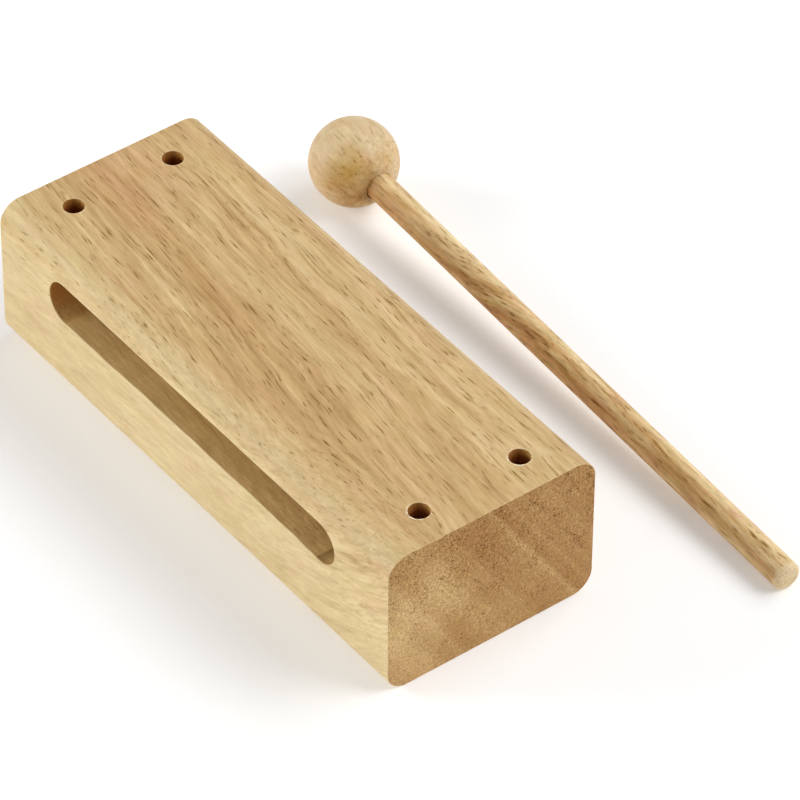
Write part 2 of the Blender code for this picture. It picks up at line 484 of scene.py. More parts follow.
def block_wood():
    g = Graph("block_wood")
    coordinates = g.tree.nodes.new("ShaderNodeTexCoord")
    place = g.vector("SCALE", coordinates.outputs["Object"], scale=1000.0)  # millimetres
    nx, _, _ = g.split(coordinates.outputs["Normal"])
    x, y, z = g.split(place)
    endness = g.smooth(g.math("ABSOLUTE", nx), 0.45, 0.9)

    # The fibre runs along +X. Seen from above it swings towards the slot side, more so near that side. By the slot it
    # also climbs, and it does so steeply at the near end.
    drift = g.swing(g.grain_noise(place, 60.0, 24.0, 3.0, 2.0, 0.5), 7.0)
    drift_z = g.swing(g.grain_noise(place, 52.0, 20.0, 8.0, 2.0, 0.5), 5.0)
    ripple = g.swing(g.grain_noise(place, 9.0, 3.2, 5.0, 1.0, 0.5), 0.9)
    lean = g.linear(y, -32.0, 32.0, -0.170, -0.015)
    near = g.math("MAXIMUM", x, 0.0)
    climb = g.mul(g.smooth(y, -13.0, -31.0), g.add(g.mul(x, 0.08), g.mul(near, near, 0.0025)), g.sub(1.0, endness))
    fy = g.add(g.sub(y, g.mul(lean, x)), drift, ripple)
    fz = g.add(g.sub(z, climb), drift_z, g.mul(ripple, 0.7))
    grain = g.join(x, fy, fz)
    depth = g.add(g.mul(fy, 0.80), g.mul(fz, 0.60))  # across the growth layers, which lie aslant
    layers = g.join(x, depth, 0.0)

    # How brown the wood is: pale yellow under the slot, then alternately paler and browner layers.
    base = g.ramp(
        g.linear(depth, -30.0, 60.0),
        (
            (0.000, 0.22), (0.280, 0.22), (0.310, 0.30), (0.345, 0.42), (0.420, 0.50), (0.520, 0.60),
            (0.630, 0.54), (0.720, 0.58), (0.810, 0.52), (0.900, 0.58),
        ),
    )
    figured = g.smooth(depth, -8.0, 10.0)
    end_figured = g.math("MAXIMUM", figured, g.mul(g.smooth(x, 40.0, 74.0), g.smooth(z, 4.0, 30.0)))
    wide = g.swing(g.grain_noise(layers, 160.0, 8.0, 1.0, 2.0, 0.55), 0.22)
    fine = g.swing(g.grain_noise(layers, 70.0, 2.2, 4.0, 3.0, 0.6), 0.42)
    cloud = g.swing(g.grain_noise(grain, 30.0, 9.0, 11.0, 3.0, 0.6), 0.36)
    tone = g.add(base, g.mul(g.add(wide, fine, cloud), g.linear(end_figured, 0.0, 1.0, 0.50, 1.0)))

    # A browner band inside the slot side, browner on the rounding too, and a browner patch in the far half.
    band = g.mul(g.smooth(y, -12.0, -19.0), g.smooth(y, -28.0, -25.5), g.smooth(x, -30.0, -5.0), g.smooth(z, 40.0, 44.0))
    patch = g.mul(g.smooth(y, -26.0, -12.0), g.smooth(y, 8.0, -6.0), g.smooth(x, 16.0, -10.0))
    edge = g.mul(g.smooth(y, -25.5, -28.5), g.smooth(z, 40.5, 43.0))
    strips = g.add(
        g.mul(g.smooth(y, 16.0, 22.0), g.smooth(x, -50.0, -15.0), -0.09),
        g.mul(g.smooth(y, -17.0, -20.5), g.smooth(y, -28.0, -25.0), g.smooth(x, 34.0, 14.0), g.smooth(x, -52.0, -20.0, 0.4, 1.0), 0.12),
        g.mul(g.smooth(y, -1.0, -5.0), g.smooth(y, -14.0, -10.0), g.smooth(x, 0.0, 30.0, 0.05, 0.10)),
        g.mul(g.smooth(g.math("ABSOLUTE", g.sub(y, 0.6)), 5.0, 2.5), g.smooth(g.math("ABSOLUTE", x), 44.0, 20.0), -0.07),
    )
    side_end = g.mul(g.smooth(y, -30.0, -32.0), g.add(
        g.mul(g.smooth(x, 52.0, 78.0), g.smooth(z, 18.0, 27.0), 0.13), g.mul(g.smooth(x, -60.0, -68.0), 0.05),
    ))
    tone = g.add(
        tone, g.mul(band, 0.05), g.mul(patch, 0.07), g.mul(edge, -0.14), g.mul(strips, g.smooth(z, 40.0, 44.0)), side_end,
    )
    long_colour = g.ramp(
        tone,
        (
            (0.00, rgb(225, 204, 157)), (0.25, rgb(213, 189, 140)), (0.50, rgb(204, 173, 123)),
            (0.75, rgb(191, 155, 104)), (1.00, rgb(170, 130, 81)),
        ),
        "LINEAR",
    )
    # Painted shade: the slot-side rounding is darkened and browned, most towards the far end, against the light and
    # sheen it catches.
    rounding_shade = g.mul(g.smooth(z, 36.0, 39.5), g.smooth(y, -26.5, -29.5), g.smooth(x, 10.0, -40.0, 0.45, 1.0))
    long_colour = g.shade(
        long_colour, g.math("MULTIPLY_ADD", rounding_shade, -0.07, 1.0), g.math("MULTIPLY_ADD", rounding_shade, -0.12, 1.0),
        g.math("MULTIPLY_ADD", rounding_shade, -0.20, 1.0),
    )

    # On the cut end the layers run down towards +Y. It is paler to the left, with two pale layers past the middle.
    end_depth = g.add(g.mul(y, 0.84), g.mul(z, 0.54), g.mul(drift, 0.22), g.mul(ripple, 0.5))
    layer = g.swing(g.grain_noise(g.join(x, end_depth, 0.0), 160.0, 5.0, 13.0, 4.0, 0.6), 0.52)
    blotch = g.swing(g.noise(place, 0.16, 3.0, 0.6), 0.22)
    pale_layer = g.add(
        g.smooth(g.math("ABSOLUTE", g.sub(end_depth, 23.1)), 1.5, 0.2),
        g.mul(g.smooth(g.math("ABSOLUTE", g.sub(end_depth, 28.0)), 1.1, 0.1), 0.5),
    )
    end_tone = g.add(
        g.smooth(y, -21.0, 2.0, 0.25, 0.61), g.mul(g.smooth(z, 20.0, 8.0), g.smooth(y, 0.0, -12.0), 0.14), layer, blotch,
        g.mul(pale_layer, -0.18), g.mul(g.smooth(z, 33.0, 40.0), g.smooth(y, -4.0, -14.0), 0.12),
        g.mul(g.smooth(z, 23.0, 33.0), g.smooth(y, 14.0, -4.0), 0.17),
        g.mul(g.smooth(z, 20.0, 8.0), g.smooth(y, -14.0, -6.0), g.smooth(y, 16.0, 8.0), -0.10),
    )
    end_colour = g.ramp(
        end_tone,
        (
            (0.00, rgb(219, 188, 136)), (0.25, rgb(206, 171, 118)), (0.50, rgb(184, 145, 93)),
            (0.75, rgb(167, 123, 73)), (1.00, rgb(147, 101, 54)),
        ),
        "LINEAR",
    )
    colour = g.mix(endness, long_colour, end_colour)

    # Fibres: a short-fibred and a long-fibred figure, each from coarse to hair-fine, and thin brown lines.
    short = g.swing(g.grain_noise(grain, 20.0, 2.3, 21.0, 5.0, 0.78), 0.92)
    long = g.swing(g.grain_noise(grain, 150.0, 2.6, 27.0, 5.0, 0.88), 0.82)
    lines = g.smooth(g.grain_noise(grain, 38.0, 1.5, 29.0, 3.0, 0.62), 0.55, 0.74)
    strand = g.swing(g.grain_noise(grain, 46.0, 1.0, 49.0, 2.0, 0.6), 0.27)
    fibre = g.mul(g.add(short, long, strand, g.mul(lines, -0.18), 0.025), g.linear(end_figured, 0.0, 1.0, 0.60, 1.0))
    fibre = g.mul(fibre, g.linear(endness, 0.0, 1.0, 1.0, 0.45))
    # Where the fibre climbs steeply out of the top, the figure is quieter and the small vessels are few.
    steep = g.mul(g.smooth(y, -13.0, -20.0), g.smooth(x, 0.0, 40.0), g.smooth(z, 38.0, 43.0))
    fibre = g.mul(fibre, g.math("MULTIPLY_ADD", steep, -0.25, 1.0))
    colour = g.shade(
        colour, g.add(1.0, fibre), g.math("MULTIPLY_ADD", fibre, 1.25, 1.0), g.math("MULTIPLY_ADD", fibre, 1.75, 1.0)
    )

    # Pinkish drifts, strongest at the far end, and olive ones.
    rosy = g.grain_noise(grain, 26.0, 6.0, 33.0, 2.0, 0.55)
    far_rosy = g.mul(g.smooth(x, -44.0, -68.0), g.smooth(y, -16.0, -6.0), g.smooth(y, 20.0, 4.0))
    rosy = g.add(g.mul(g.smooth(rosy, 0.50, 0.72), 0.5), g.mul(far_rosy, 0.6))
    colour = g.shade(
        colour, g.math("MULTIPLY_ADD", rosy, 0.03, 1.0), g.math("MULTIPLY_ADD", rosy, -0.055, 1.0),
        g.math("MULTIPLY_ADD", rosy, 0.02, 1.0),
    )
    olive = g.mul(
        g.smooth(g.grain_noise(grain, 20.0, 5.0, 39.0, 2.0, 0.55), 0.54, 0.74), g.math("MULTIPLY_ADD", steep, -0.5, 1.0)
    )
    colour = g.shade(colour, g.math("MULTIPLY_ADD", olive, -0.02, 1.0), 1.0, g.math("MULTIPLY_ADD", olive, -0.08, 1.0))

    # The slot's walls and floor, as cut.
    past_end = g.math("MAXIMUM", g.sub(g.math("ABSOLUTE", x), 55.4), 0.0)
    from_slot = g.vector("LENGTH", g.join(past_end, g.sub(z, 30.66), 0.0))
    in_slot = g.mul(g.smooth(y, -32.25, -31.9), g.smooth(y, 20.6, 20.2), g.smooth(from_slot, 6.95, 6.7))

    # Vessels, gathered in drifts and mostly in the darker fibres. The longest are joined end to end into thin lines.
    rich = g.math("MAXIMUM", g.smooth(g.add(z, g.mul(y, 0.25)), 4.0, 32.0, 0.10, 1.0), g.mul(g.smooth(y, -31.0, -32.0), g.smooth(x, 50.0, 76.0), 0.60))
    rich = g.mul(rich, g.linear(in_slot, 0.0, 1.0, 1.0, 0.35))
    rich = g.mul(
        rich, g.linear(endness, 0.0, 1.0, 1.0, 0.25), g.smooth(x, 30.0, 72.0, 1.0, 0.85),
        g.sub(1.0, g.mul(g.smooth(y, -17.0, -27.0), g.smooth(x, -30.0, 10.0, 0.12, 0.40))),
    )
    crowd = g.add(g.swing(g.grain_noise(grain, 24.0, 4.4, 45.0, 3.0, 0.6), 1.9), g.mul(short, -0.60), 0.48)
    pits = None
    for across, along, seed, radius, reach, threshold, strength, on_steep in (
        (1.15, 15.0, 3.7, 0.23, 4.7, 0.65, 0.41, 0.35),
        (0.92, 9.0, 11.2, 0.20, 2.9, 0.65, 0.39, 0.30),
        (0.80, 5.5, 17.9, 0.17, 2.0, 0.77, 0.33, -0.75),
        (1.40, 44.0, 23.3, 0.20, 18.0, 0.54, 0.35, -0.20),
    ):
        core, stain, pick = vessels(g, grain, across, along, seed, radius, reach)
        chosen = g.smooth(g.math("MULTIPLY_ADD", pick, 0.55, crowd), threshold - 0.10, threshold + 0.14)
        chosen = g.mul(chosen, rich, g.math("MULTIPLY_ADD", steep, on_steep, 1.0))
        colour = g.darken(colour, g.mul(g.math("MULTIPLY_ADD", stain, 0.15, core), chosen, strength))
        pit = g.mul(core, chosen)
        pits = pit if pits is None else g.math("MAXIMUM", pits, pit)

    # End grain: fine mottling, round pores, and painted glints in small pale specks.
    inset = g.smooth(g.math("ABSOLUTE", x), 82.9, 83.6)
    speckle = g.add(g.swing(g.noise(place, 1.25, 4.0, 0.74), 1.55), g.swing(g.noise(place, 3.0, 2.0, 0.6), 1.15))
    speckle = g.mul(speckle, endness, inset, g.smooth(z, 8.0, 34.0, 0.95, 1.35))
    colour = g.shade(
        colour, g.add(1.0, speckle), g.math("MULTIPLY_ADD", speckle, 1.15, 1.0), g.math("MULTIPLY_ADD", speckle, 1.3, 1.0)
    )
    cut = g.join(x, g.add(y, g.mul(drift, 0.3)), g.add(z, g.mul(drift_z, 0.3)))
    gathered = g.add(
        g.noise(place, 0.20, 2.0, 0.5), g.smooth(z, 8.0, 32.0, -0.07, 0.05), g.mul(g.smooth(y, -6.0, -18.0), g.smooth(z, 40.0, 30.0), -0.04)
    )
    for across, seed, radius, threshold, strength in ((0.85, 41.3, 0.23, 0.90, 0.62), (0.62, 47.9, 0.15, 0.88, 0.45)):
        core, stain, pick = vessels(g, cut, across, 9.0, seed, radius, 9.0, 1.0, 0.35)
        chosen = g.mul(g.smooth(g.math("MULTIPLY_ADD", pick, 0.5, gathered), threshold, threshold + 0.06), endness, inset)
        colour = g.darken(colour, g.mul(g.math("MULTIPLY_ADD", stain, 0.18, core), chosen, strength))
        pits = g.math("MAXIMUM", pits, g.mul(core, chosen))
    # Painted glints: small pale specks on the end grain.
    glint, _, glint_pick = vessels(g, cut, 1.15, 9.0, 31.7, 0.19, 6.0, 1.0, 0.3)
    glint = g.mul(glint, g.smooth(g.add(glint_pick, g.smooth(y, -14.0, 24.0, -0.05, 0.03)), 0.90, 0.96), endness, inset)
    colour = g.mix(g.mul(glint, 0.70), colour, rgb(234, 206, 160))

    # Cutter's marks and loose fibres in the slot, painted shade over the whole slot and at its drilled ends, and a
    # crease before the near one.
    chatter = g.mul(g.swing(g.grain_noise(g.join(y, x, z), 14.0, 1.3, 51.0, 3.0, 0.6), 0.18), in_slot)
    scratch = g.mul(g.swing(g.grain_noise(place, 9.0, 0.7, 53.0, 3.0, 0.7), 0.56), in_slot)
    splinter = g.smooth(g.grain_noise(place, 5.0, 0.50, 57.0, 3.0, 0.7), 0.58, 0.68)
    splinter = g.mul(splinter, in_slot, g.smooth(x, 0.0, 42.0, 0.10, 0.80))
    front = g.mul(in_slot, g.smooth(y, -30.2, -31.5), g.smooth(x, 2.0, 26.0), g.smooth(g.noise(place, 0.5, 2.0, 0.5), 0.3, 0.6, 0.4, 1.0))
    gouge = g.smooth(g.grain_noise(place, 8.0, 0.5, 59.0, 2.0, 0.6), 0.58, 0.68)
    gouge = g.mul(gouge, in_slot, g.smooth(x, 34.0, 43.0), g.smooth(x, 53.0, 50.0))
    worked = g.add(chatter, scratch, g.mul(splinter, 0.40), g.mul(gouge, -0.34))
    # The marks are the cutter's; the in_slot terms darken and brown the whole slot as painted shade.
    colour = g.shade(
        colour, g.add(1.0, worked, g.mul(in_slot, -0.03), g.mul(front, 0.05)),
        g.add(1.0, worked, g.mul(in_slot, -0.13), g.mul(front, 0.01)), g.add(1.0, g.mul(worked, 1.2), g.mul(in_slot, -0.32)),
    )
    # Painted shade: a dark line along the crease before the near drilled end, and darker wood past it.
    crease = g.smooth(g.math("ABSOLUTE", g.sub(x, 54.3)), 0.75, 0.05)
    near_end_shade = g.mul(in_slot, g.add(g.mul(g.smooth(x, 54.0, 54.6), 0.24), g.mul(crease, 0.22)))
    # The far drilled end, darkest on its upper wall: partly scorched wood, partly painted shade.
    far_burn_and_shade = g.mul(in_slot, g.smooth(x, -51.5, -57.5), g.smooth(z, 24.0, 31.5, 0.55, 1.0))
    colour = g.darken(colour, g.mul(in_slot, g.smooth(x, -55.0, -58.0), g.smooth(z, 27.0, 34.0), 0.10))
    colour = g.shade(
        colour, g.add(1.0, g.mul(far_burn_and_shade, -0.06), g.mul(near_end_shade, -1.0)),
        g.add(1.0, g.mul(far_burn_and_shade, -0.23), g.mul(near_end_shade, -1.05)), g.add(1.0, g.mul(far_burn_and_shade, -0.50), g.mul(near_end_shade, -1.15)),
    )

    # The holes: reddish brown, with painted shade that deepens further in, and chipped along the rim with a painted
    # highlight there, most on the near side of the near ones.
    bored, rim = None, None
    for hole_x, hole_y in HOLES:
        from_x, from_y = g.sub(x, hole_x * 1000.0), g.sub(y, hole_y * 1000.0)
        off = g.vector("LENGTH", g.join(from_x, from_y, 0.0))
        inside = g.smooth(off, 3.01, 2.92)
        collar = g.mul(g.smooth(off, 3.50, 3.14), g.smooth(off, 2.88, 2.94))
        collar = g.mul(collar, g.smooth(g.add(g.mul(from_x, 0.81), g.mul(from_y, -0.59)), -3.0, 2.6, 0.25, 1.0))
        bored = inside if bored is None else g.math("MAXIMUM", bored, inside)
        rim = collar if rim is None else g.math("MAXIMUM", rim, collar)
    from_middle = g.math("ABSOLUTE", g.sub(z, 22.35))
    bored = g.mul(bored, g.smooth(from_middle, 22.28, 22.08))
    # Painted shade inside the holes, growing with depth, its start made uneven by a noise.
    hole_shade_noise = g.swing(g.noise(place, 0.9, 3.0, 0.65), 0.55)
    hole_depth_shade = g.mul(bored, g.math("ADD", g.smooth(from_middle, 22.1, 18.7), hole_shade_noise, clamp=True))
    colour = g.shade(
        colour, g.add(1.0, g.mul(hole_depth_shade, -0.42), g.mul(bored, -0.10)), g.add(1.0, g.mul(hole_depth_shade, -0.50), g.mul(bored, -0.30)),
        g.add(1.0, g.mul(hole_depth_shade, -0.34), g.mul(bored, -0.62)),
    )
    # Chips along the near side of the rims, painted near white as a highlight.
    rim_chips_and_highlight = g.mul(rim, g.smooth(g.noise(place, 1.2, 3.0, 0.6), 0.48, 0.56), g.smooth(x, -20.0, 20.0, 0.35, 1.0))

    # Eased arrises are rubbed paler. Along the slot's upper lip and the near side of the holes' rims the pale line is a
    # painted highlight.
    rubbed = g.smooth(g.noise(place, 0.7, 3.0, 0.6), 0.36, 0.64, 0.25, 1.0)
    corner = g.mul(g.smooth(g.math("ABSOLUTE", nx), 0.10, 0.35), g.smooth(g.math("ABSOLUTE", nx), 0.98, 0.80))
    corner = g.mul(corner, g.smooth(g.math("ABSOLUTE", x), 83.0, 83.6))
    lip = g.mul(g.smooth(from_slot, 6.95, 6.60), g.smooth(y, -31.9, -32.2), g.smooth(z, 29.0, 34.0, 0.25, 1.0))
    pale = g.math("MAXIMUM", g.math("MAXIMUM", g.mul(corner, 0.50), g.mul(lip, 0.72)), g.mul(rim, 0.20))
    colour = g.mix(g.mul(pale, rubbed), colour, rgb(232, 203, 150))
    colour = g.mix(g.mul(rim_chips_and_highlight, 0.85), colour, rgb(253, 242, 216))

    height = g.add(
        g.mul(fibre, 0.9), g.mul(pits, -1.0), g.mul(speckle, 0.5), g.mul(worked, 1.2), g.mul(pale, rubbed, 0.15), g.mul(rim_chips_and_highlight, -0.8)
    )
    g.feed(g.shader.inputs["Normal"], g.bump(height, 0.00010, 0.5))
    roughness = g.add(
        g.linear(short, -0.10, 0.10, 0.46, 0.56), g.mul(pits, 0.22), g.mul(endness, 0.14), g.mul(in_slot, 0.16)
    )
    g.feed(g.shader.inputs["Base Color"], colour)
    g.feed(g.shader.inputs["Roughness"], roughness)
    dull = g.math("MAXIMUM", g.math("MAXIMUM", endness, in_slot), g.mul(bored, 1.6))
    g.feed(g.shader.inputs["Specular IOR Level"], g.math("MULTIPLY_ADD", dull, -0.14, 0.28))
    return g.material


# The beater's own axes, in which its materials are laid out: along the stick, across it as the camera sees it, and
# towards the camera.
BEATER_SIDE = STICK_AXIS.cross(CAMERA_EYE - BALL_CENTRE).normalized()
BEATER_SIDE = -BEATER_SIDE if BEATER_SIDE.z < 0 else BEATER_SIDE
BEATER_FRONT = STICK_AXIS.cross(BEATER_SIDE)


def beater_axes(g):
    """Millimetres along the stick, across and through it from the ball's centre, and how squarely a face cuts the fibre."""
    coordinates = g.tree.nodes.new("ShaderNodeTexCoord")
    centred = g.vector("SUBTRACT", coordinates.outputs["Object"], tuple(BALL_CENTRE))
    place = g.vector("SCALE", centred, scale=1000.0)
    x = g.vector("DOT_PRODUCT", place, tuple(STICK_AXIS))
    y = g.vector("DOT_PRODUCT", place, tuple(BEATER_SIDE))
    z = g.vector("DOT_PRODUCT", place, tuple(BEATER_FRONT))
    facing = g.math("ABSOLUTE", g.vector("DOT_PRODUCT", coordinates.outputs["Normal"], tuple(STICK_AXIS)))
    return place, x, y, z, facing


def seen_on_ball(across, upwards):
    """The spot of the ball at this place in the camera's view of it, in radii from its middle, as millimetres."""
    right = CAMERA_RIGHT.normalized()
    up = (CAMERA_UP - right * CAMERA_UP.dot(right)).normalized()
    out = right.cross(up)
    spot = right * across + up * upwards + out * math.sqrt(max(0.0, 1.0 - across * across - upwards * upwards))
    return tuple(spot * BALL_RADIUS * 1000.0)


def ball_wood():
    g = Graph("ball_wood")
    place, x, y, z, facing = beater_axes(g)

    def zone(across, upwards, inner, outer):
        return g.smooth(g.vector("DISTANCE", place, seen_on_ball(across, upwards)), outer, inner)

    drift = g.swing(g.noise(g.vector("SCALE", place, scale=1 / 12.0), 1.0, 2.0, 0.5), 4.0)
    fy = g.add(y, drift)
    fz = g.add(z, g.mul(drift, 0.6))
    grain = g.join(x, fy, fz)
    cloud = g.swing(g.grain_noise(grain, 9.0, 4.0, 61.0, 3.0, 0.65), 1.05)
    layer = g.swing(g.grain_noise(g.join(x, g.add(g.mul(fy, 0.7), g.mul(fz, 0.7)), 0.0), 30.0, 2.6, 67.0, 3.0, 0.6), 0.60)
    tone = g.add(cloud, layer, 0.40)
    # Tone laid out on the ball as the camera sees it, partly the wood's own colour and partly painted light: paler at
    # the left, top, upper right and lower left, darker below the middle and at the bottom.
    tone = g.add(
        tone, g.mul(zone(-0.10, -0.55, 3.0, 10.0), 0.20), g.mul(zone(0.05, -0.95, 2.0, 8.0), 0.38),
        g.mul(zone(-0.62, 0.22, 2.0, 9.0), -0.18), g.mul(zone(-0.10, 0.62, 1.0, 7.0), -0.16),
        g.mul(zone(0.65, 0.40, 2.0, 8.0), -0.12), g.mul(zone(-0.78, -0.42, 1.0, 5.0), -0.22), g.mul(zone(0.15, -0.45, 1.0, 4.0), -0.24),
    )
    colour = g.ramp(
        tone,
        (
            (0.00, rgb(224, 202, 160)), (0.25, rgb(214, 189, 147)), (0.50, rgb(206, 174, 124)),
            (0.75, rgb(194, 156, 98)), (1.00, rgb(168, 126, 72)),
        ),
        "LINEAR",
    )
    # Painted shade: golden brown from the middle of the ball down to its bottom as the camera sees it, broken up by a
    # noise.
    lower_middle_shade = g.add(
        g.mul(zone(-0.12, -0.10, 2.0, 8.0), 0.95), g.mul(zone(-0.02, -0.48, 2.0, 7.0), 0.35), g.mul(zone(0.10, -0.95, 2.0, 6.0), 0.55)
    )
    lower_middle_shade = g.mul(lower_middle_shade, g.smooth(g.noise(g.vector("SCALE", place, scale=0.22), 1.0, 2.0, 0.5), 0.30, 0.66, 0.35, 1.0))
    colour = g.shade(
        colour, g.math("MULTIPLY_ADD", lower_middle_shade, -0.02, 1.0), g.math("MULTIPLY_ADD", lower_middle_shade, -0.04, 1.0),
        g.math("MULTIPLY_ADD", lower_middle_shade, -0.30, 1.0),
    )
    rosy = g.add(g.mul(zone(0.28, 0.06, 0.5, 3.4), 0.9), g.mul(zone(0.30, 0.68, 0.5, 4.0), 0.7))
    rosy = g.add(rosy, g.mul(g.smooth(g.noise(g.vector("SCALE", place, scale=0.20), 1.0, 3.0, 0.6), 0.50, 0.70), 0.6))
    colour = g.shade(
        colour, g.math("MULTIPLY_ADD", rosy, 0.01, 1.0), g.math("MULTIPLY_ADD", rosy, -0.055, 1.0),
        g.math("MULTIPLY_ADD", rosy, -0.03, 1.0),
    )
    short = g.swing(g.grain_noise(grain, 12.0, 2.0, 71.0, 4.0, 0.75), 0.42)
    colour = g.shade(
        colour, g.add(1.0, short), g.math("MULTIPLY_ADD", short, 1.2, 1.0), g.math("MULTIPLY_ADD", short, 1.6, 1.0)
    )
    mottle = g.mul(g.swing(g.noise(place, 0.8, 4.0, 0.65), 0.55), g.smooth(facing, 0.3, 0.7, 0.4, 1.0))
    colour = g.shade(colour, g.add(1.0, mottle), g.math("MULTIPLY_ADD", mottle, 1.2, 1.0), g.math("MULTIPLY_ADD", mottle, 1.5, 1.0))

    # Vessels: open on the side by the stick, few on the far side.
    open_side = g.smooth(x, -1.0, 5.0, 0.10, 1.0)
    crowd = g.grain_noise(grain, 10.0, 3.0, 75.0, 2.0, 0.6)
    shown = []
    for across, along, seed, radius, reach, threshold, strength in (
        (1.30, 8.0, 5.1, 0.30, 3.0, 0.58, 0.32), (1.05, 6.0, 13.7, 0.22, 2.0, 0.62, 0.26),
    ):
        core, stain, pick = vessels(g, grain, across, along, seed, radius, reach)
        chosen = g.mul(g.smooth(g.math("MULTIPLY_ADD", pick, 0.55, crowd), threshold - 0.10, threshold + 0.12), open_side)
        shown.append((g.mul(core, chosen), g.mul(stain, chosen), strength))
    # Three long streaks on the upper left.
    for across, upwards, half, width, strength in (
        (-0.27, 0.56, 3.4, 0.20, 0.27), (-0.36, 0.50, 3.2, 0.22, 0.25), (-0.29, 0.12, 1.6, 0.30, 0.24), (-0.42, -0.20, 2.4, 0.26, 0.16),
        (0.12, 0.44, 0.9, 0.40, 0.18), (0.30, 0.40, 0.8, 0.45, 0.16), (0.34, -0.02, 1.0, 0.45, 0.20), (0.10, 0.16, 0.7, 0.40, 0.18),
        (0.04, -0.05, 0.6, 0.40, 0.17), (-0.52, -0.60, 1.2, 0.35, 0.24), (-0.20, -0.68, 0.7, 0.40, 0.20),
    ):
        spot = Vector(seen_on_ball(across, upwards))
        sx, sy, sz = (spot.dot(v) for v in (STICK_AXIS, BEATER_SIDE, BEATER_FRONT))
        off = g.vector(
            "LENGTH",
            g.join(g.mul(g.sub(x, sx), 1.0 / half), g.mul(g.sub(y, sy), 1.0 / width), g.mul(g.sub(z, sz), 0.25 / width)),
        )
        streak = g.mul(g.smooth(off, 1.15, 0.2), g.smooth(g.noise(place, 1.1, 2.0, 0.6), 0.25, 0.55, 0.45, 1.0))
        shown.append((streak, streak, strength))
    for core, stain, strength in shown:
        colour = g.darken(colour, g.mul(g.math("MULTIPLY_ADD", stain, 0.20, core), strength))
    pits = g.add(shown[0][0], g.mul(shown[1][0], 0.7))
    # Painted shade in the crevice round the stick: the ball is darker and browner there, most on the stick's lower
    # side.
    round_stick = g.vector("LENGTH", g.join(0.0, y, z))
    joint_shade = g.mul(g.smooth(round_stick, 7.2, 4.1), g.smooth(x, 4.0, 9.0), g.smooth(g.sub(g.mul(z, 0.5), y), -3.5, 3.0, 0.15, 1.0))
    colour = g.darken(colour, g.mul(joint_shade, 0.30))
    height = g.add(g.mul(short, 0.8), g.mul(pits, -0.9), g.mul(mottle, 1.0))
    g.feed(g.shader.inputs["Normal"], g.bump(height, 0.00010, 0.5))
    g.feed(g.shader.inputs["Base Color"], colour)
    g.feed(g.shader.inputs["Roughness"], g.add(g.linear(short, -0.08, 0.08, 0.38, 0.48), g.mul(pits, 0.2)))
    g.shader.inputs["Specular IOR Level"].default_value = 0.28
    return g.material


